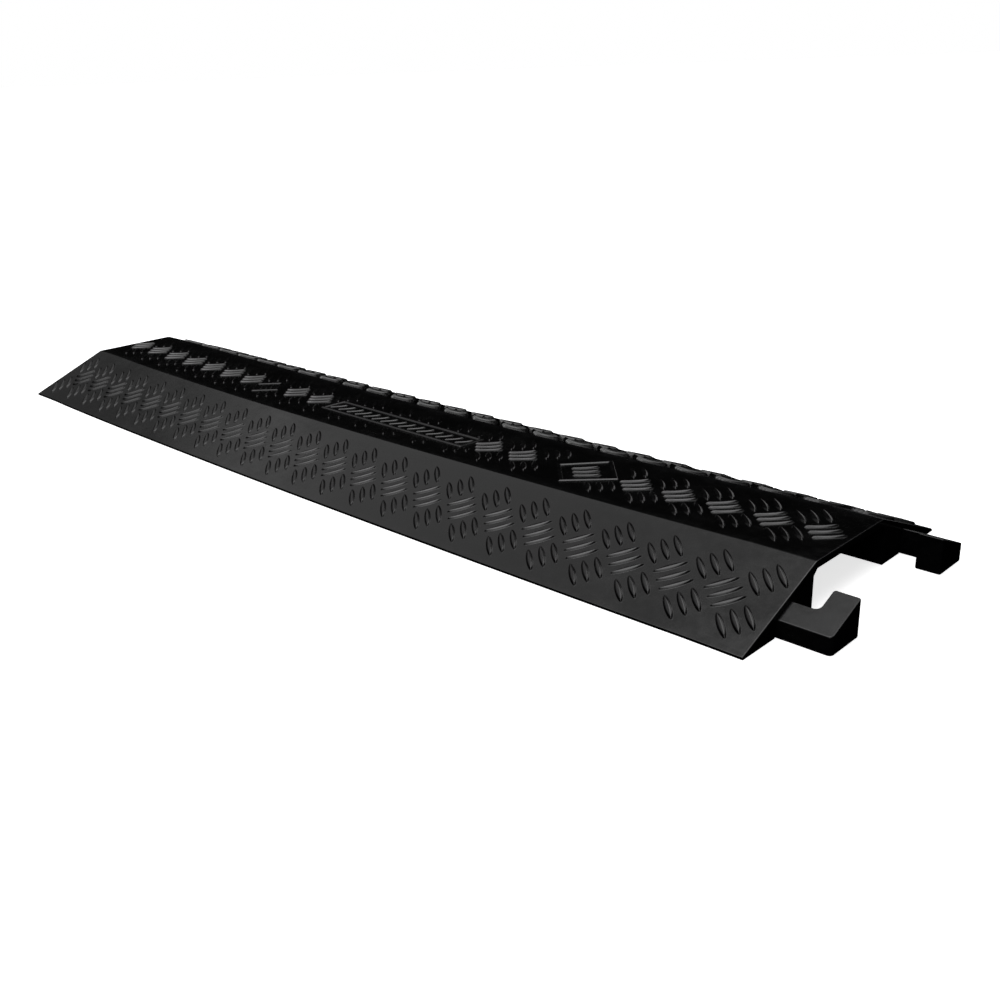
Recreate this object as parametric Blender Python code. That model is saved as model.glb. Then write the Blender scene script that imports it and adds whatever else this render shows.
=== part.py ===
"""Cable protector ramp: a one metre drop-over ramp with its two connector keys.

The ramp is a moulded rubber bridge with a ramp on each side, a flat deck on top
and one cable channel open to the floor. Both of its ends have the same pair of
L-shaped sockets, open to the end face and to the floor. Two C-shaped keys sit in
the sockets of the +X end. The hooked half of each key that stands out of the end
drops into the socket of the next ramp.

Metres, +Z up, standing on z = 0. X runs along the ramp, towards its keys, and Y
runs across it. The origin is the centre of the whole object's footprint.
"""

import math

import bmesh
import bpy
from mathutils import Matrix, Vector

OBJECT_NAME = "cable_protector_ramp"

# Ramp
RAMP_LENGTH = 1.000
BASE_WIDTH = 0.272
DECK_WIDTH = 0.096
DECK_HEIGHT = 0.038
LIP_HEIGHT = 0.002

# Cable channel
CHANNEL_WIDTH = 0.102
CHANNEL_HEIGHT = 0.032
CHANNEL_CHAMFER = 0.004

# Connector keys: the same hook at both ends of an arm, turned to the centreline
HOOK_REACH = 0.0395
HOOK_HEAD = 0.0195
ARM_OUTER = 0.097
ARM_INNER = 0.0795
HOOK_TIP = 0.061
KEY_DROP = 0.0045
OUTER_RADIUS = 0.0035
TIP_RADIUS = 0.0018
THROAT_RADIUS = 0.0042

# Clearance of a key in its socket, to the sides and to the ceiling
SIDE_CLEARANCE = 0.0005
TOP_CLEARANCE = 0.0006

# The ramp's middle lies behind the origin by half of what the keys add to its length
RAMP_CENTRE_X = -HOOK_REACH / 2
KEYED_END_X = RAMP_CENTRE_X + RAMP_LENGTH / 2
OPEN_END_X = RAMP_CENTRE_X - RAMP_LENGTH / 2

SLOPE_RUN = (BASE_WIDTH - DECK_WIDTH) / 2
SLOPE = (DECK_HEIGHT - LIP_HEIGHT) / SLOPE_RUN

CUT_OVERRUN = 0.010
ARC_STEPS = 5
WELD = 0.00001


def clear_scene():
    for obj in list(bpy.data.objects):
        bpy.data.objects.remove(obj)


def collection(name):
    made = bpy.data.collections.new(name)
    bpy.context.scene.collection.children.link(made)
    return made


def rubber(name, colour, roughness):
    material = bpy.data.materials.new(name)
    material.use_nodes = True
    shader = material.node_tree.nodes["Principled BSDF"]
    shader.inputs["Base Color"].default_value = (*colour, 1)
    shader.inputs["Roughness"].default_value = roughness
    shader.inputs["Metallic"].default_value = 0
    material.diffuse_color = (*colour, 1)
    return material


def rounded(corners):
    """The points of an outline whose corners, given as (x, y, radius), are rounded by arcs."""
    points = []
    for i, (x, y, radius) in enumerate(corners):
        corner = Vector((x, y))
        if radius <= 0:
            points.append(corner)
            continue
        before = Vector(corners[i - 1][:2]) - corner
        after = Vector(corners[(i + 1) % len(corners)][:2]) - corner
        half_angle = before.angle(after) / 2
        setback = radius / math.tan(half_angle)
        start = corner + before.normalized() * setback
        end = corner + after.normalized() * setback
        middle = (before.normalized() + after.normalized()).normalized()
        centre = corner + middle * radius / math.sin(half_angle)
        sweep = (start - centre).angle_signed(end - centre)
        for step in range(ARC_STEPS + 1):
            turn = Matrix.Rotation(-sweep * step / ARC_STEPS, 2)
            points.append(centre + turn @ (start - centre))
    return points


def prism(name, outline, thickness):
    """A mesh object of the outline, in its local XY plane, thick by half on each side of it."""
    curve = bpy.data.curves.new(name, "CURVE")
    curve.dimensions = "2D"
    curve.fill_mode = "BOTH"
    curve.extrude = thickness / 2
    spline = curve.splines.new("POLY")
    spline.points.add(len(outline) - 1)
    for point, (x, y) in zip(spline.points, outline):
        point.co = (x, y, 0, 1)
    spline.use_cyclic_u = True
    flat = bpy.data.objects.new(name + "_outline", curve)
    bpy.context.scene.collection.objects.link(flat)
    graph = bpy.context.evaluated_depsgraph_get()
    mesh = bpy.data.meshes.new_from_object(flat.evaluated_get(graph))
    mesh.name = name
    bpy.data.objects.remove(flat)
    bpy.data.curves.remove(curve)
    bm = bmesh.new()
    bm.from_mesh(mesh)
    bmesh.ops.remove_doubles(bm, verts=bm.verts, dist=WELD)
    bmesh.ops.recalc_face_normals(bm, faces=bm.faces)
    bm.to_mesh(mesh)
    bm.free()
    return bpy.data.objects.new(name, mesh)


def surface_height(y):
    """Height of the ramp's upper surface, lip and deck included, at a distance y from the centreline."""
    return DECK_HEIGHT - SLOPE * max(0, abs(y) - DECK_WIDTH / 2)


def cross_section():
    """The ramp's outline across its length, as (y, z), with the channel open at the bottom."""
    half_base = BASE_WIDTH / 2
    half_deck = DECK_WIDTH / 2
    half_channel = CHANNEL_WIDTH / 2
    right = [
        (half_channel - CHANNEL_CHAMFER, CHANNEL_HEIGHT),
        (half_channel, CHANNEL_HEIGHT - CHANNEL_CHAMFER),
        (half_channel, 0),
        (half_base, 0),
        (half_base, LIP_HEIGHT),
        (half_deck, DECK_HEIGHT),
    ]
    left = [(-y, z) for y, z in reversed(right)]
    return right + left


def key_outline():
    """Plan of a key about the end face, as (x, distance from the centreline)."""
    neck_x = HOOK_REACH - HOOK_HEAD
    return rounded(
        [
            (-HOOK_REACH, ARM_OUTER, OUTER_RADIUS),
            (HOOK_REACH, ARM_OUTER, OUTER_RADIUS),
            (HOOK_REACH, HOOK_TIP, TIP_RADIUS),
            (neck_x, HOOK_TIP, TIP_RADIUS),
            (neck_x, ARM_INNER, THROAT_RADIUS),
            (-neck_x, ARM_INNER, THROAT_RADIUS),
            (-neck_x, HOOK_TIP, TIP_RADIUS),
            (-HOOK_REACH, HOOK_TIP, TIP_RADIUS),
        ]
    )


def socket_outline():
    """Plan of a socket about the end face, larger than half a key by the clearance all round."""
    gap = SIDE_CLEARANCE
    back_x = -HOOK_REACH - gap
    neck_x = HOOK_HEAD - HOOK_REACH + gap
    return rounded(
        [
            (back_x, ARM_OUTER + gap, OUTER_RADIUS + gap),
            (CUT_OVERRUN, ARM_OUTER + gap, 0),
            (CUT_OVERRUN, ARM_INNER - gap, 0),
            (neck_x, ARM_INNER - gap, THROAT_RADIUS - gap),
            (neck_x, HOOK_TIP - gap, TIP_RADIUS + gap),
            (back_x, HOOK_TIP - gap, TIP_RADIUS + gap),
        ]
    )


def lean_under_ramp(obj, drop, thickness):
    """Slants a flat prism so that its top follows the ramp's slope, lower than it by drop."""
    edge = DECK_WIDTH / 2
    top_at_edge = surface_height(edge) - drop
    for vertex in obj.data.vertices:
        x, y, z = vertex.co
        vertex.co.z = top_at_edge - SLOPE * (y - edge) + z - thickness / 2


def place_at_end(obj, end_x, direction, side):
    """Moves a plan made about the end face to that end (direction +1 or -1) and side of the ramp."""
    turn = Matrix.Translation((end_x, 0, 0)) @ Matrix.Diagonal((direction, side, 1, 1))
    obj.data.transform(turn)
    if direction * side < 0:
        obj.data.flip_normals()


def socket_cutter(name, end_x, direction, side):
    thickness = 2 * DECK_HEIGHT
    cutter = prism(name, socket_outline(), thickness)
    lean_under_ramp(cutter, KEY_DROP - TOP_CLEARANCE, thickness)
    place_at_end(cutter, end_x, direction, side)
    cutter.hide_render = True
    cutter.display_type = "WIRE"
    return cutter


def ramp_body(cutters):
    body = prism("ramp_body", cross_section(), RAMP_LENGTH)
    across_to_world = Matrix(((0, 0, 1, RAMP_CENTRE_X), (1, 0, 0, 0), (0, 1, 0, 0), (0, 0, 0, 1)))
    body.data.transform(across_to_world)
    body.data.materials.append(rubber("moulded_rubber", (0.022, 0.022, 0.023), 0.55))
    for end, end_x, direction in (("open_end", OPEN_END_X, -1), ("keyed_end", KEYED_END_X, 1)):
        for place, side in (("front", -1), ("rear", 1)):
            cutter = socket_cutter(f"{place}_{end}_socket_cutter", end_x, direction, side)
            cutters.objects.link(cutter)
            cut = body.modifiers.new(cutter.name, "BOOLEAN")
            cut.operation = "DIFFERENCE"
            cut.solver = "EXACT"
            cut.object = cutter
    return body


def connector_key(name, side, material):
    """A C-shaped key, half in its socket and half standing out of the end as a hook."""
    thickness = 2 * DECK_HEIGHT
    key = prism(name, key_outline(), thickness)
    lean_under_ramp(key, KEY_DROP, thickness)
    place_at_end(key, KEYED_END_X, 1, side)
    bm = bmesh.new()
    bm.from_mesh(key.data)
    everything = bm.verts[:] + bm.edges[:] + bm.faces[:]
    cut = bmesh.ops.bisect_plane(
        bm, geom=everything, plane_co=(0, 0, 0), plane_no=(0, 0, 1), clear_inner=True
    )
    rim = [item for item in cut["geom_cut"] if isinstance(item, bmesh.types.BMEdge)]
    bmesh.ops.contextual_create(bm, geom=rim)
    bmesh.ops.recalc_face_normals(bm, faces=bm.faces)
    bm.to_mesh(key.data)
    bm.free()
    key.data.materials.append(material)
    key.data.shade_smooth()
    key.data.set_sharp_from_angle(angle=math.radians(30))
    return key


def main():
    clear_scene()
    parts = collection(OBJECT_NAME)
    cutters = collection("cutters")
    cutters.hide_render = True
    parts.objects.link(ramp_body(cutters))
    key_rubber = rubber("connector_rubber", (0.026, 0.026, 0.027), 0.5)
    parts.objects.link(connector_key("front_connector", -1, key_rubber))
    parts.objects.link(connector_key("rear_connector", 1, key_rubber))


main()
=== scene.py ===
import math

import bmesh
import bpy
from mathutils import Matrix, Vector
from mathutils.geometry import delaunay_2d_cdt

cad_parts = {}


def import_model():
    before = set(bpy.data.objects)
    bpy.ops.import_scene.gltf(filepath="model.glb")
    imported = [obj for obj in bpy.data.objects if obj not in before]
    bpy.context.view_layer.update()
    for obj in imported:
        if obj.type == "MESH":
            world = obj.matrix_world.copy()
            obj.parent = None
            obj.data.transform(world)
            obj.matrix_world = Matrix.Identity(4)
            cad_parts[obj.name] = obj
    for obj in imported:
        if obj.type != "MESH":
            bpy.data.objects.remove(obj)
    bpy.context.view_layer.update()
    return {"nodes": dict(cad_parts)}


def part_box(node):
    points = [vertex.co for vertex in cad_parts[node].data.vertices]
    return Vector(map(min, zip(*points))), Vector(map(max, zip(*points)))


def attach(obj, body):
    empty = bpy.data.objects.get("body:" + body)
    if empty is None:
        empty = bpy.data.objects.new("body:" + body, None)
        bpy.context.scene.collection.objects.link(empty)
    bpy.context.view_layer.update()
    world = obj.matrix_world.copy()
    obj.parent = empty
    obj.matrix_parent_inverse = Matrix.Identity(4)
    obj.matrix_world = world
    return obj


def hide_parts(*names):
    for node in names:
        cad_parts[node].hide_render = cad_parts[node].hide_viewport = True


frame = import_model()

# A drop-over cable protector ramp: a treaded black rubber moulding with two hooked keys at one end.
# Lengths are in metres. x runs along the ramp, its hooks at the high end, and y from front to back.

BODY = "ramp_body"
CONNECTORS = ("front_connector", "rear_connector")

# How the CAD's triangles become whole flat faces again, and which of their edges are real.
WELD = 1e-6
SAME_PLANE = math.radians(1)
SHARP_EDGE = math.radians(20)
# A face looks up, or closes an end, if its normal leans this far that way.
LOOKS_UP = 0.5
CLOSES_END = 0.9

# The rounded edges of the ramp, its end faces and its thin lips, and of the connectors.
BODY_ROUND = 0.0010
END_ROUND = 0.0011
LIP_ROUND = 0.0005
CONNECTOR_ROUND = 0.0009
ROUND_STEPS = 3
LIP_TOP = 0.0025

# The tread: groups of three raised bars, turned 45 degrees one way and the other by turns.
RISING = math.radians(45)
FALLING = math.radians(-45)
PITCH_COUNT = 24
RAMP_ROW_MIDDLE = 0.0455
BARS_IN_GROUP = 3
BAR_SPACING = 0.0096
BAR_LENGTH = 0.0256
BAR_WIDTH = 0.0058
BAR_HEIGHT = 0.0014
# The bars of the rear ramp stand up along its skyline.
REAR_BAR_HEIGHT = 0.0021
BAR_STEPS = 14
BAR_TIP = 0.60
FLAT_RIM = 0.0003
# How long, how wide and how high each ring of a bar is, as shares of the whole.
BAR_RINGS = (
    (1.000, 1.00, 0.00),
    (0.980, 0.90, 0.19),
    (0.955, 0.78, 0.39),
    (0.925, 0.64, 0.59),
    (0.895, 0.48, 0.77),
    (0.865, 0.32, 0.90),
    (0.840, 0.16, 0.974),
    (0.820, 0.04, 1.00),
)

# The raised frames on the deck, measured from the end without hooks and from the middle of the deck.
PANEL_START = 0.422
PANEL_END = 0.628
PANEL_SHIFT = -0.0035
PANEL_HALF_HEIGHT = 0.0148
PANEL_BAR = 0.0040
PANEL_DASHES = 15
PANEL_DASH_TURN = math.radians(58)
PANEL_DASH = (0.0180, 0.0038)
NEAR_MARK = (0.7592, 0.0010)
NEAR_MARK_LENGTH = 0.0490
NEAR_MARK_WIDTH = 0.0480
NEAR_MARK_BAR = 0.0050
NEAR_DASH = (0.0240, 0.0042)
FAR_MARK = (0.311, -0.008)
FAR_MARK_SIDE = 0.028
FAR_MARK_BAR = 0.0026
FAR_DASH = (0.0150, 0.0026)
FAR_DASH_STEP = 0.00364
DIAMOND = math.radians(45)
MARK_HEIGHT = 0.0012
DASH_HEIGHT = 0.0008
MARK_CORNER = 0.0012
SMALLEST_CORNER = 0.0003
CORNER_STEPS = 4
# Each sloping side of a frame's bar, as a share of the bar's width.
FRAME_SIDE = 0.28
# The room that a bar keeps beside a frame, and the shortest share of itself that it is cut to there.
KEEP_CLEAR = 0.0004
SHORTEST_RISING = 0.85
SHORTEST_FALLING = 0.55
CUT_STEP = 0.05
MOST_CUTS = 10

# How the long soft moulding has settled: its front foot spreads, and its front crease and its deck sink.
SLICES = 40
FOOT_SPREAD = 0.0065
CREASE_SAG = 0.0033
DECK_SAG = 0.0055
# Where each sinks most: 1 is halfway along, less is nearer the end without hooks, more is nearer the hooks.
CREASE_LEAN = 0.85
DECK_LEAN = 1.3
BOW_SHAPE = 0.8
STIFF_END = 0.045

# Shading: a flat face smaller than SLIVER is only filling, so its own normal isn't trusted.
SLIVER = 2e-8
SOFT_EDGE = math.radians(30)
STEEPEST_MEETING = math.radians(60)


# ---------------------------------------------------------------- geometry


def welded(node):
    """A copy of a CAD node's mesh with its triangles merged back into whole flat faces."""
    bm = bmesh.new()
    bm.from_mesh(node.data)
    bmesh.ops.remove_doubles(bm, verts=bm.verts, dist=WELD)
    bmesh.ops.dissolve_limit(
        bm, angle_limit=SAME_PLANE, verts=bm.verts, edges=bm.edges, use_dissolve_boundaries=False
    )
    return bm


def edge_radius(edge, plain, ends, lip):
    """One edge's rounding: ends along the top of an end face, lip on the thin foot and plain elsewhere."""
    normals = [f.normal for f in edge.link_faces]
    if any(abs(n.x) > CLOSES_END for n in normals) and any(n.z > LOOKS_UP for n in normals):
        return ends
    if all(v.co.z < LIP_TOP for v in edge.verts):
        return lip
    return plain


def rounded(bm, name, plain, ends, lip):
    """Rounds every real edge. The faces that this adds are marked in the face layer 'curved'."""
    largest = max(plain, ends, lip)
    weight = bm.edges.layers.float.new("bevel_weight_edge")
    for edge in bm.edges:
        if len(edge.link_faces) == 2 and edge.calc_face_angle(0) > SHARP_EDGE:
            edge[weight] = edge_radius(edge, plain, ends, lip) / largest
    mesh = bpy.data.meshes.new(name)
    bm.to_mesh(mesh)
    bm.free()
    mesh.materials.append(None)
    mesh.materials.append(None)
    draft = bpy.data.objects.new(name, mesh)
    bpy.context.scene.collection.objects.link(draft)
    bevel = draft.modifiers.new("round", "BEVEL")
    bevel.limit_method = "WEIGHT"
    bevel.width = largest
    bevel.segments = ROUND_STEPS
    bevel.use_clamp_overlap = False
    bevel.material = 1
    bpy.context.view_layer.update()
    shaped = bpy.data.meshes.new_from_object(draft.evaluated_get(bpy.context.evaluated_depsgraph_get()))
    bm = bmesh.new()
    bm.from_mesh(shaped)
    curved = bm.faces.layers.int.new("curved")
    for face in bm.faces:
        face[curved] = face.material_index
        face.material_index = 0
    bpy.data.objects.remove(draft)
    bpy.data.meshes.remove(mesh)
    bpy.data.meshes.remove(shaped)
    bm.normal_update()
    return bm, curved


def open_and_slice(bm, faces):
    """Takes the upper faces out and cuts the rest across the ramp, so that it can bend.

    Returns the open rims."""
    start = min(v.co.x for v in bm.verts)
    end = max(v.co.x for v in bm.verts)
    bmesh.ops.delete(bm, geom=faces, context="FACES_ONLY")
    for i in range(1, SLICES):
        everything = bm.verts[:] + bm.edges[:] + bm.faces[:]
        where = Vector((start + (end - start) * i / SLICES, 0, 0))
        bmesh.ops.bisect_plane(bm, geom=everything, dist=WELD, plane_co=where, plane_no=(1, 0, 0))
    bm.edges.index_update()
    rim_edges = {e for e in bm.edges if len(e.link_faces) == 1}
    rims = []
    while rim_edges:
        edge = min(rim_edges, key=lambda e: e.index)
        rim_edges.remove(edge)
        first, at = edge.verts
        rim = [first]
        while at is not first:
            rim.append(at)
            edge = next(e for e in at.link_edges if e in rim_edges)
            rim_edges.remove(edge)
            at = edge.other_vert(at)
        rims.append(rim)
    return rims


class Plane:
    """A flat side of the ramp: u runs along the ramp, v across it, and h stands off it."""

    def __init__(self, origin, v):
        self.origin = origin
        self.u = Vector((1, 0, 0))
        self.v = v.normalized()
        self.n = self.u.cross(self.v)

    def at(self, u, v, h):
        return self.origin + self.u * u + self.v * v + self.n * h

    def flat(self, point):
        away = point - self.origin
        return Vector((away.dot(self.u), away.dot(self.v)))


def upper_faces(bm):
    """The front ramp, the deck and the rear ramp: the biggest faces that look up."""
    up = [f for f in bm.faces if f.normal.z > LOOKS_UP]
    up.sort(key=lambda f: -f.calc_area())
    return sorted(up[:3], key=lambda f: f.calc_center_median().y)


def planes_of(faces):
    """One Plane for each upper face. The ramps' v runs up the front ramp and down the rear one."""
    planes = []
    for face in faces:
        corners = [v.co for v in face.verts]
        start = min(c.x for c in corners)
        front = min(corners, key=lambda c: c.y)
        back = max(corners, key=lambda c: c.y)
        origin = Vector((start, front.y, front.z))
        planes.append(Plane(origin, Vector((0, back.y - front.y, back.z - front.z))))
    return planes


def lens(length, width):
    """A closed outline, pointed at both ends, as (u, v) pairs."""
    upper = []
    for i in range(BAR_STEPS + 1):
        s = -math.cos(math.pi * i / BAR_STEPS)
        upper.append((s * length / 2, width / 2 * (1 - s * s) ** BAR_TIP))
    lower = [(u, -v) for u, v in reversed(upper[1:-1])]
    return [Vector(p) for p in reversed(upper + lower)]


def block(half_u, half_v, corner):
    """A closed outline of a rectangle with rounded corners."""
    points = []
    for turn, (su, sv) in enumerate(((1, 1), (-1, 1), (-1, -1), (1, -1))):
        centre = Vector((su * (half_u - corner), sv * (half_v - corner)))
        for i in range(CORNER_STEPS + 1):
            a = math.radians(90 * turn + 90 * i / CORNER_STEPS)
            points.append(centre + corner * Vector((math.cos(a), math.sin(a))))
    return points


def placed(points, centre, turn):
    spin = Matrix.Rotation(turn, 2)
    return [spin @ p + Vector(centre) for p in points]


class Pad:
    """A raised shape on a plane, as rings of the same number of points from its outer base inwards."""

    def __init__(self, rings, opening=False):
        self.rings = rings
        self.opening = opening
        self.inside = []


def bar_pad(centre, turn, length=BAR_LENGTH, width=BAR_WIDTH, height=BAR_HEIGHT):
    rings = []
    rim = lens(length + 2 * FLAT_RIM, width + 2 * FLAT_RIM)
    rings.append([(p.x, p.y, 0.0) for p in placed(rim, centre, turn)])
    for long, wide, high in BAR_RINGS:
        outline = placed(lens(length * long, width * wide), centre, turn)
        rings.append([(p.x, p.y, high * height) for p in outline])
    return Pad(rings)


def frame_pad(centre, turn, half_u, half_v, bar, height):
    """A raised frame: up its outer side, across its top and down its inner side."""
    side = FRAME_SIDE * bar
    # Each ring: how far in from the frame's outer edge, and how high as a share of its height.
    steps = (
        (-FLAT_RIM, 0.0),
        (0.0, 0.0),
        (side * 0.55, 0.62),
        (side, 0.93),
        (side * 1.5, 1.0),
        (bar - side * 1.5, 1.0),
        (bar - side, 0.93),
        (bar - side * 0.55, 0.62),
        (bar, 0.0),
        (bar + FLAT_RIM, 0.0),
    )
    rings = []
    for inset, high in steps:
        corner = max(MARK_CORNER - inset, SMALLEST_CORNER)
        outline = placed(block(half_u - inset, half_v - inset, corner), centre, turn)
        rings.append([(p.x, p.y, high * height) for p in outline])
    return Pad(rings, opening=True)


def lined_up(points):
    """The points with straight sides made exactly straight: coordinates a hair apart become the same."""
    for axis in (0, 1):
        order = sorted(points, key=lambda p: p[axis])
        for before, point in zip(order, order[1:]):
            if point[axis] - before[axis] < WELD:
                point[axis] = before[axis]
    return points


# delaunay_2d_cdt: keep the triangles inside the loops, and join points closer than this.
INSIDE_LOOPS = 1
SAME_POINT = 1e-7


def fill(bm, plane, outer, holes):
    """Fills the flat face inside the vertices outer, leaving out the holes."""
    verts = list(outer)
    loops = [list(range(len(outer)))]
    for hole in holes:
        loops.append(list(range(len(verts), len(verts) + len(hole))))
        verts.extend(hole)
    flat = lined_up([plane.flat(v.co) for v in outer])
    flat += [plane.flat(v.co) for v in verts[len(outer):]]
    _, _, faces, from_vert, _, from_face = delaunay_2d_cdt(flat, [], loops, INSIDE_LOOPS, SAME_POINT, True)
    for face, sources in zip(faces, from_face):
        in_hole = any(s > 0 for s in sources)
        if in_hole:
            continue
        corners = [verts[from_vert[i][0]] for i in face]
        made = bm.faces.new(corners)
        made.normal_update()
        if made.normal.dot(plane.n) < 0:
            made.normal_flip()


def raise_pad(bm, plane, pad, curved, highlight_and_wear):
    """Builds a pad's rings and returns its outer rim. The flat inside a frame is filled too."""
    rings = []
    top = max(h for ring in pad.rings for _, _, h in ring)
    for ring in pad.rings:
        made = []
        for u, v, h in ring:
            vert = bm.verts.new(plane.at(u, v, h))
            # highlight_and_wear runs from 0 at a pad's base to 1 at its top. The material paints the higher
            # parts lighter, partly as wear and partly as a painted highlight.
            vert[highlight_and_wear] = h / top
            made.append(vert)
        rings.append(made)
    for outer, inner in zip(rings, rings[1:]):
        level = all(v[highlight_and_wear] == 0 for v in outer + inner)
        for i in range(len(outer)):
            j = (i + 1) % len(outer)
            side = bm.faces.new((outer[i], outer[j], inner[j], inner[i]))
            side[curved] = 0 if level else 1
    if pad.opening:
        rims = [raise_pad(bm, plane, p, curved, highlight_and_wear) for p in pad.inside]
        fill(bm, plane, rings[-1], rims)
    else:
        bm.faces.new(rings[-1])[curved] = 1
    return rings[0]


# ---------------------------------------------------------------- tread pattern


def group(centre, turn):
    """The centres of one group's bars. The bars lie side by side, across their length."""
    across = Vector((-math.sin(turn), math.cos(turn)))
    middle = (BARS_IN_GROUP - 1) / 2
    return [Vector(centre) + across * BAR_SPACING * (i - middle) for i in range(BARS_IN_GROUP)]


def ramp_tread(pitch, row_middle, mirrored, slope_length):
    """Three rows of groups on a ramp, v measured from its toe, turned over for the rear ramp."""
    bars = []
    for k in range(PITCH_COUNT):
        half = (k + 0.5) * pitch
        for row in (row_middle - pitch / 2, row_middle + pitch / 2):
            bars += [(c, FALLING) for c in group((half, row), FALLING)]
        if k:
            bars += [(c, RISING) for c in group((k * pitch, row_middle), RISING)]
    if mirrored:
        bars = [(Vector((c.x, slope_length - c.y)), -turn) for c, turn in bars]
    return bars


def deck_tread(pitch, middle):
    """A middle row of groups and a row each side of it, v measured from the front of the deck."""
    bars = []
    for k in range(PITCH_COUNT):
        bars += [(c, RISING) for c in group(((k + 0.5) * pitch, middle), RISING)]
        if k:
            for row in (middle - pitch / 2, middle + pitch / 2):
                bars += [(c, FALLING) for c in group((k * pitch, row), FALLING)]
    return bars


def outside(point, centre, turn, half_u, half_v):
    """How far a point is outside a turned rectangle, and 0 or less inside it."""
    local = Matrix.Rotation(-turn, 2) @ (point - Vector(centre))
    over_u = abs(local.x) - half_u
    over_v = abs(local.y) - half_v
    if over_u > 0 and over_v > 0:
        return math.hypot(over_u, over_v)
    return max(over_u, over_v)


def clear_bar(centre, turn, marks):
    """The bar's centre and length once it is cut short of the marks, or None if too little is left."""
    along = Vector((math.cos(turn), math.sin(turn)))
    shortest = SHORTEST_RISING if turn > 0 else SHORTEST_FALLING
    for cut in range(MOST_CUTS):
        length = BAR_LENGTH * (1 - cut * CUT_STEP)
        if length < BAR_LENGTH * shortest:
            return None
        for side in (-1, 1):
            moved = centre + along * side * (BAR_LENGTH - length) / 2
            rim = placed(lens(length + 2 * FLAT_RIM, BAR_WIDTH + 2 * FLAT_RIM), moved, turn)
            if all(outside(p, c, t, a, b) > KEEP_CLEAR for p in rim for c, t, a, b, _ in marks):
                return moved, length
    return None


def deck_pads(pitch, middle):
    """The deck's tread with the long panel and the two diamonds, each filled with plain dashes.

    A group beside a mark keeps its bars only if most of them have room."""
    panel_centre = ((PANEL_START + PANEL_END) / 2, middle + PANEL_SHIFT)
    panel_half = (PANEL_END - PANEL_START) / 2
    near = (NEAR_MARK[0], middle + NEAR_MARK[1])
    far = (FAR_MARK[0], middle + FAR_MARK[1])
    marks = [
        (panel_centre, 0.0, panel_half, PANEL_HALF_HEIGHT, PANEL_BAR),
        (near, DIAMOND, NEAR_MARK_LENGTH / 2, NEAR_MARK_WIDTH / 2, NEAR_MARK_BAR),
        (far, DIAMOND, FAR_MARK_SIDE / 2, FAR_MARK_SIDE / 2, FAR_MARK_BAR),
    ]
    pads = []
    tread = deck_tread(pitch, middle)
    for start in range(0, len(tread), BARS_IN_GROUP):
        bars = tread[start : start + BARS_IN_GROUP]
        cut = [(clear_bar(centre, turn, marks), turn) for centre, turn in bars]
        kept = [(bar, turn) for bar, turn in cut if bar]
        if len(kept) > BARS_IN_GROUP / 2:
            pads += [bar_pad(centre, turn, length) for (centre, length), turn in kept]
    heights = (MARK_HEIGHT, MARK_HEIGHT, DASH_HEIGHT)
    frames = [frame_pad(c, t, a, b, w, h) for (c, t, a, b, w), h in zip(marks, heights)]
    inner = PANEL_END - PANEL_START - 2 * PANEL_BAR
    for i in range(PANEL_DASHES):
        u = PANEL_START + PANEL_BAR + inner * (i + 0.5) / PANEL_DASHES
        dash = bar_pad((u, middle + PANEL_SHIFT), PANEL_DASH_TURN, *PANEL_DASH, DASH_HEIGHT)
        frames[0].inside.append(dash)
    for centre in group(near, RISING):
        frames[1].inside.append(bar_pad(centre, RISING, *NEAR_DASH, MARK_HEIGHT))
    for i in (-1, 0, 1):
        centre = (far[0] + i * FAR_DASH_STEP, far[1] + i * FAR_DASH_STEP)
        frames[2].inside.append(bar_pad(centre, FALLING, *FAR_DASH, DASH_HEIGHT))
    return pads + frames


# ---------------------------------------------------------------- pieces


def corner_normals(bm, curved):
    """One normal for each face corner, so that flat faces shade flat and rounded edges shade round."""
    areas = {face: face.calc_area() for face in bm.faces}
    soft = math.cos(SOFT_EDGE)
    meets = math.cos(STEEPEST_MEETING)
    normals = []
    for face in bm.faces:
        for loop in face.loops:
            around = loop.vert.link_faces
            if face[curved]:
                level = [f for f in around if not f[curved] and areas[f] > SLIVER]
                near = max(level, key=lambda f: f.normal.dot(face.normal), default=None)
                if near and near.normal.dot(face.normal) > meets:
                    normals.append(near.normal.copy())
                    continue
                mates = [f for f in around if f[curved]]
            else:
                level = [f for f in around if not f[curved]]
                guide = face if areas[face] > SLIVER else max(level, key=areas.get)
                mates = [f for f in level if f.normal.dot(guide.normal) > soft]
            total = Vector()
            for mate in mates:
                total += mate.normal * areas[mate]
            normals.append(total.normalized() if total.length > 0 else face.normal.copy())
    return normals


def piece_of(name, bm, curved):
    """The finished mesh as an object in the scene."""
    for face in bm.faces:
        face.smooth = True
    bm.normal_update()
    normals = corner_normals(bm, curved)
    mesh = bpy.data.meshes.new(name)
    bm.to_mesh(mesh)
    bm.free()
    mesh.normals_split_custom_set(normals)
    piece = bpy.data.objects.new(name, mesh)
    bpy.context.scene.collection.objects.link(piece)
    return piece


def bow(x, low, high, lean):
    """0 near both ends of the ramp and 1 where it has settled most."""
    share = (x - low.x - STIFF_END) / (high.x - low.x - 2 * STIFF_END)
    share = min(max(share, 0.0), 1.0)
    return max(0.0, math.sin(math.pi * share**lean)) ** BOW_SHAPE


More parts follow.
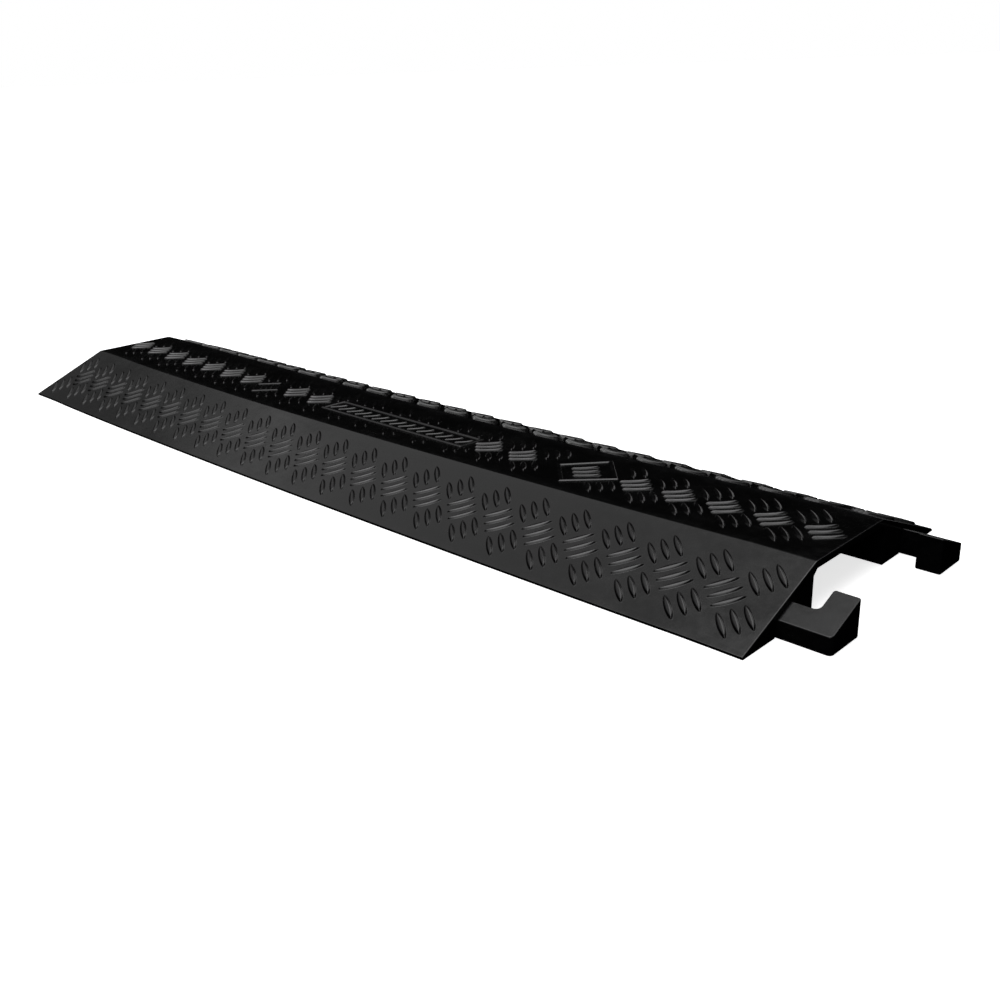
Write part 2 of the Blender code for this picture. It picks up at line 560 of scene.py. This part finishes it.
def settle(bm, planes, low, high):
    """The long soft moulding settles between its stiff ends, most of all along its deck."""
    crease = -planes[1].origin.y
    for vert in bm.verts:
        front = bow(vert.co.x, low, high, CREASE_LEAN)
        deck = DECK_SAG * bow(vert.co.x, low, high, DECK_LEAN)
        y = vert.co.y
        slope = min(1.0, (high.y - abs(y)) / (high.y - crease))
        forward = min(max(-y / crease, 0.0), 1.0)
        sag = (deck + (CREASE_SAG * front - deck) * forward) * slope
        top = LIP_TOP + (high.z - LIP_TOP) * slope
        vert.co.y -= FOOT_SPREAD * front * min(max((crease - y) / (2 * crease), 0.0), 1.0)
        vert.co.z -= sag * min(vert.co.z / top, 1.0)


def mark_rounded(bm, curved, highlight_and_wear):
    """Rounded edges get the full value, so the material paints them lighter like the tops of the bars:
    partly wear, partly a painted highlight.
    """
    for face in bm.faces:
        if face[curved]:
            for vert in face.verts:
                vert[highlight_and_wear] = 1.0


def treaded_ramp():
    bm = welded(frame["nodes"][BODY])
    faces = upper_faces(bm)
    planes = planes_of(faces)
    slope_length = max(planes[0].flat(v.co).y for v in faces[0].verts)
    length = max(planes[0].flat(v.co).x for v in faces[0].verts)
    deck_middle = -planes[1].origin.y
    bm, curved = rounded(bm, BODY, BODY_ROUND, END_ROUND, LIP_ROUND)
    # highlight_and_wear marks where the material paints the rubber lighter: wear and a painted highlight on
    # the bar tops and rounded edges.
    highlight_and_wear = bm.verts.layers.float.new("highlight_and_wear")
    mark_rounded(bm, curved, highlight_and_wear)
    pitch = length / PITCH_COUNT
    front = [bar_pad(c, t) for c, t in ramp_tread(pitch, RAMP_ROW_MIDDLE, False, slope_length)]
    rear_tread = ramp_tread(pitch, RAMP_ROW_MIDDLE, True, slope_length)
    rear = [bar_pad(c, t, height=REAR_BAR_HEIGHT) for c, t in rear_tread]
    rims = open_and_slice(bm, upper_faces(bm))
    rims.sort(key=lambda rim: sum(v.co.y for v in rim) / len(rim))
    for rim, plane, raised in zip(rims, planes, (front, deck_pads(pitch, deck_middle), rear)):
        fill(bm, plane, rim, [raise_pad(bm, plane, pad, curved, highlight_and_wear) for pad in raised])
    settle(bm, planes, *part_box(BODY))
    return piece_of("treaded_ramp", bm, curved)


def rounded_connector(node_name):
    bm, curved = rounded(
        welded(frame["nodes"][node_name]), node_name, CONNECTOR_ROUND, CONNECTOR_ROUND, CONNECTOR_ROUND
    )
    # highlight_and_wear: the rounded edges are painted lighter, partly as wear and partly as a painted
    # highlight.
    highlight_and_wear = bm.verts.layers.float.new("highlight_and_wear")
    mark_rounded(bm, curved, highlight_and_wear)
    return piece_of(node_name + "_rounded", bm, curved)


# ---------------------------------------------------------------- materials

# The black of the rubber, the lighter grey of its scuffs and of the wear and painted highlight on its bar
# tops and rounded edges, how rough it is and how strongly it reflects.
BLACK = (0.0007, 0.0007, 0.00075)
SCUFF_AND_HIGHLIGHT_GREY = (0.006, 0.006, 0.0063)
BODY_ROUGHNESS = 0.16
BODY_IOR = 1.5
CONNECTOR_ROUGHNESS = 0.22
CONNECTOR_IOR = 1.42
# How much lighter the cloudy patches are than the rest.
FADED = 1.7
# Scuffs are noise drawn out along the ramp.
SCUFF_SCALE = (18, 260, 260)
# The Mix node has sockets for each type of data. These are its share, its two colours and its result.
MIX_INPUTS = (0, 6, 7)
MIX_RESULT = 2


class Nodes:
    """A material's node tree, with short calls to add to it."""

    def __init__(self, name):
        self.material = bpy.data.materials.new(name)
        self.material.use_nodes = True
        self.tree = self.material.node_tree
        self.tree.nodes.clear()

    def add(self, kind, **settings):
        node = self.tree.nodes.new(kind)
        for name, value in settings.items():
            setattr(node, name, value)
        return node

    def link(self, start, end):
        self.tree.links.new(start, end)

    def noise(self, where, scale, detail, roughness=0.5):
        node = self.add("ShaderNodeTexNoise")
        node.inputs["Scale"].default_value = scale
        node.inputs["Detail"].default_value = detail
        node.inputs["Roughness"].default_value = roughness
        self.link(where, node.inputs["Vector"])
        return node.outputs["Fac"]

    def remap(self, value, low, high, to_low, to_high):
        node = self.add("ShaderNodeMapRange")
        for name, number in zip(("From Min", "From Max", "To Min", "To Max"), (low, high, to_low, to_high)):
            node.inputs[name].default_value = number
        self.link(value, node.inputs["Value"])
        return node.outputs["Result"]

    def math(self, operation, first, second):
        node = self.add("ShaderNodeMath", operation=operation)
        for socket, value in zip(node.inputs, (first, second)):
            if isinstance(value, (int, float)):
                socket.default_value = value
            else:
                self.link(value, socket)
        return node.outputs["Value"]

    def bump(self, height, strength, distance, under=None):
        node = self.add("ShaderNodeBump")
        node.inputs["Strength"].default_value = strength
        node.inputs["Distance"].default_value = distance
        self.link(height, node.inputs["Height"])
        if under:
            self.link(under, node.inputs["Normal"])
        return node.outputs["Normal"]

    def mix(self, share, first, second):
        node = self.add("ShaderNodeMix", data_type="RGBA")
        for index, value in zip(MIX_INPUTS, (share, first, second)):
            socket = node.inputs[index]
            if isinstance(value, (int, float, tuple)):
                socket.default_value = value
            else:
                self.link(value, socket)
        return node.outputs[MIX_RESULT]


def rubber(name, deep, scuff_and_highlight_grey, gloss, ior):
    """Black moulded rubber: mould grain, cloudy sheen, scuffs along the ramp, and bar tops and rounded
    edges painted lighter, partly as wear and partly as a painted highlight.
    """
    n = Nodes(name)
    where = n.add("ShaderNodeTexCoord").outputs["Object"]
    highlight_and_wear = n.add("ShaderNodeAttribute", attribute_name="highlight_and_wear").outputs["Fac"]
    cloud = n.noise(where, scale=26, detail=5, roughness=0.55)
    blotch = n.noise(where, scale=140, detail=4, roughness=0.6)
    grain = n.noise(where, scale=1500, detail=2, roughness=0.6)
    pebble = n.noise(where, scale=420, detail=2)
    along = n.add("ShaderNodeMapping")
    along.inputs["Scale"].default_value = SCUFF_SCALE
    n.link(where, along.inputs["Vector"])
    scuff = n.noise(along.outputs["Vector"], scale=1, detail=6, roughness=0.7)
    scuffed = n.remap(scuff, 0.60, 0.74, 0, 1)
    # Wear and painted highlight: bar tops and rounded edges turn a lighter grey in patches. The scuffs
    # lighten it too.
    highlighted_worn_top = n.math("MULTIPLY", n.remap(highlight_and_wear, 0.45, 1.0, 0, 1), n.remap(blotch, 0.35, 0.65, 0.25, 1))
    light = n.math("MAXIMUM", n.math("MULTIPLY", scuffed, 0.35), n.math("MULTIPLY", highlighted_worn_top, 0.55))
    faded = tuple(c * FADED for c in deep)
    base = n.mix(n.remap(cloud, 0.35, 0.65, 0, 1), deep + (1.0,), faded + (1.0,))
    colour = n.mix(light, base, scuff_and_highlight_grey + (1.0,))
    rough = n.remap(cloud, 0.3, 0.7, gloss - 0.04, gloss + 0.05)
    rough = n.math("ADD", rough, n.remap(blotch, 0.3, 0.7, -0.03, 0.04))
    rough = n.math("ADD", rough, n.math("MULTIPLY", scuffed, 0.10))
    shader = n.add("ShaderNodeBsdfPrincipled")
    shader.inputs["IOR"].default_value = ior
    waves = n.noise(where, scale=22, detail=1, roughness=0.4)
    swell = n.bump(waves, strength=0.10, distance=0.0015)
    coarse = n.bump(pebble, strength=0.05, distance=0.0004, under=swell)
    fine = n.bump(grain, strength=0.07, distance=0.00012, under=coarse)
    n.link(colour, shader.inputs["Base Color"])
    n.link(rough, shader.inputs["Roughness"])
    n.link(fine, shader.inputs["Normal"])
    out = n.add("ShaderNodeOutputMaterial")
    n.link(shader.outputs["BSDF"], out.inputs["Surface"])
    return n.material


def finish_piece(piece, material, node_name):
    piece.data.materials.append(material)
    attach(piece, "root")
    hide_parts(node_name)


# ---------------------------------------------------------------- stage

CAMERA_TARGET = Vector((0.16715, -0.0325, 0.0))
CAMERA_AZIMUTH = math.radians(44.88)
CAMERA_ELEVATION = math.radians(21.246)
CAMERA_ROLL = math.radians(-2.081)
CAMERA_DISTANCE = 0.9699
CAMERA_LENS = 39.83
FAR_AWAY = 1500

FLOOR_HALF = 400
FLOOR_GLOW = 0.74
FLOOR_SHADES = ((0.84, 0.84, 0.84, 1), (0.88, 0.88, 0.88, 1))
# Each lamp: its direction from the ramp, its width in degrees and how bright its disc is.
LAMPS = {
    "overhead": ((-0.06, -0.06, 1.00), 52, 1.9),
    "overhead_back": ((-0.06, 0.44, 0.90), 30, 1.8),
    "rear_high": ((-0.02, 0.77, 0.63), 14, 0.9),
    "left_high": ((-0.42, -0.26, 0.87), 34, 1.3),
    "left_soft": ((-0.55, 0.12, 0.83), 48, 0.42),
    "left_low": ((-0.88, 0.08, 0.47), 24, 0.14),
    "front_high": ((-0.05, -0.58, 0.81), 46, 1.2),
    "front_low": ((0.30, -0.82, 0.48), 44, 0.55),
    "back_low": ((-0.25, 0.95, 0.07), 20, 0.32),
}
# The dome that the ramp reflects: how bright it is at each height, from -1 straight down to 1 overhead.
DOME = ((0.0, 0.0), (0.05, 0.004), (0.50, 0.004), (0.60, 0.08), (0.75, 0.12), (1.0, 0.12))


def camera():
    """The photograph's camera. Azimuth 0 looks along +Y."""
    az, el = CAMERA_AZIMUTH, CAMERA_ELEVATION
    back = Vector((math.sin(az) * math.cos(el), -math.cos(az) * math.cos(el), math.sin(el)))
    right = Vector((math.cos(az), math.sin(az), 0))
    up = back.cross(right)
    axis_x = math.cos(CAMERA_ROLL) * right + math.sin(CAMERA_ROLL) * up
    axis_y = back.cross(axis_x)
    data = bpy.data.cameras.new("photo_camera")
    data.lens = CAMERA_LENS
    data.clip_end = FAR_AWAY
    made = bpy.data.objects.new("photo_camera", data)
    turn = Matrix((axis_x, axis_y, back)).transposed().to_4x4()
    made.matrix_world = Matrix.Translation(CAMERA_TARGET + back * CAMERA_DISTANCE) @ turn
    bpy.context.scene.collection.objects.link(made)
    bpy.context.scene.camera = made


def sun_light(name, direction, spread, strength):
    """A round soft light. The direction points from the ramp towards it, and the spread is in degrees."""
    data = bpy.data.lights.new(name, "SUN")
    data.angle = math.radians(spread)
    data.energy = strength
    lamp = bpy.data.objects.new(name, data)
    lamp.rotation_euler = Vector(direction).normalized().to_track_quat("Z", "Y").to_euler()
    bpy.context.scene.collection.objects.link(lamp)


def floor():
    mesh = bpy.data.meshes.new("floor")
    half = FLOOR_HALF
    corners = [(-half, -half, 0), (half, -half, 0), (half, half, 0), (-half, half, 0)]
    mesh.from_pydata(corners, [], [(0, 1, 2, 3)])
    made = bpy.data.objects.new("floor", mesh)
    bpy.context.scene.collection.objects.link(made)
    made.visible_glossy = False
    made.visible_diffuse = False
    n = Nodes("pale_floor")
    shader = n.add("ShaderNodeBsdfPrincipled")
    where = n.add("ShaderNodeTexCoord").outputs["Object"]
    cloud = n.noise(where, scale=3, detail=4)
    n.link(n.mix(cloud, *FLOOR_SHADES), shader.inputs["Base Color"])
    shader.inputs["Roughness"].default_value = 0.9
    shader.inputs["Specular IOR Level"].default_value = 0.0
    shader.inputs["Emission Color"].default_value = (1, 1, 1, 1)
    shader.inputs["Emission Strength"].default_value = FLOOR_GLOW
    out = n.add("ShaderNodeOutputMaterial")
    n.link(shader.outputs["BSDF"], out.inputs["Surface"])
    mesh.materials.append(n.material)


def world():
    """White behind the scene. The ramp itself sees a dome that is dark low down and soft grey overhead."""
    made = bpy.data.worlds.new("studio")
    bpy.context.scene.world = made
    made.use_nodes = True
    tree = made.node_tree
    tree.nodes.clear()
    where = tree.nodes.new("ShaderNodeTexCoord")
    split = tree.nodes.new("ShaderNodeSeparateXYZ")
    height = tree.nodes.new("ShaderNodeMapRange")
    height.inputs["From Min"].default_value = -1
    ramp = tree.nodes.new("ShaderNodeValToRGB")
    stops = ramp.color_ramp.elements
    # A stop's place runs from 0 to 1, where the dome's height runs from -1 to 1.
    while len(stops) < len(DOME):
        stops.new(0.5)
    for stop, (level, bright) in zip(stops, DOME):
        stop.position = (level + 1) / 2
        stop.color = (bright, bright, bright, 1)
    path = tree.nodes.new("ShaderNodeLightPath")
    seen = tree.nodes.new("ShaderNodeBackground")
    seen.inputs["Color"].default_value = (1, 1, 1, 1)
    lit = tree.nodes.new("ShaderNodeBackground")
    mix = tree.nodes.new("ShaderNodeMixShader")
    out = tree.nodes.new("ShaderNodeOutputWorld")
    tree.links.new(where.outputs["Generated"], split.inputs[0])
    tree.links.new(split.outputs["Z"], height.inputs["Value"])
    tree.links.new(height.outputs["Result"], ramp.inputs["Fac"])
    tree.links.new(ramp.outputs["Color"], lit.inputs["Color"])
    tree.links.new(path.outputs["Is Camera Ray"], mix.inputs[0])
    tree.links.new(lit.outputs[0], mix.inputs[1])
    tree.links.new(seen.outputs[0], mix.inputs[2])
    tree.links.new(mix.outputs[0], out.inputs["Surface"])


def studio():
    bpy.context.scene.view_settings.view_transform = "Standard"
    floor()
    world()
    for name, (direction, spread, bright) in LAMPS.items():
        solid_angle = 2 * math.pi * (1 - math.cos(math.radians(spread / 2)))
        sun_light(name, direction, spread, bright * solid_angle)


camera()
body_rubber = rubber("moulded_rubber_look", BLACK, SCUFF_AND_HIGHLIGHT_GREY, BODY_ROUGHNESS, BODY_IOR)
connector_rubber = rubber("connector_rubber_look", BLACK, SCUFF_AND_HIGHLIGHT_GREY, CONNECTOR_ROUGHNESS, CONNECTOR_IOR)
finish_piece(treaded_ramp(), body_rubber, BODY)
for connector in CONNECTORS:
    finish_piece(rounded_connector(connector), connector_rubber, connector)
studio()
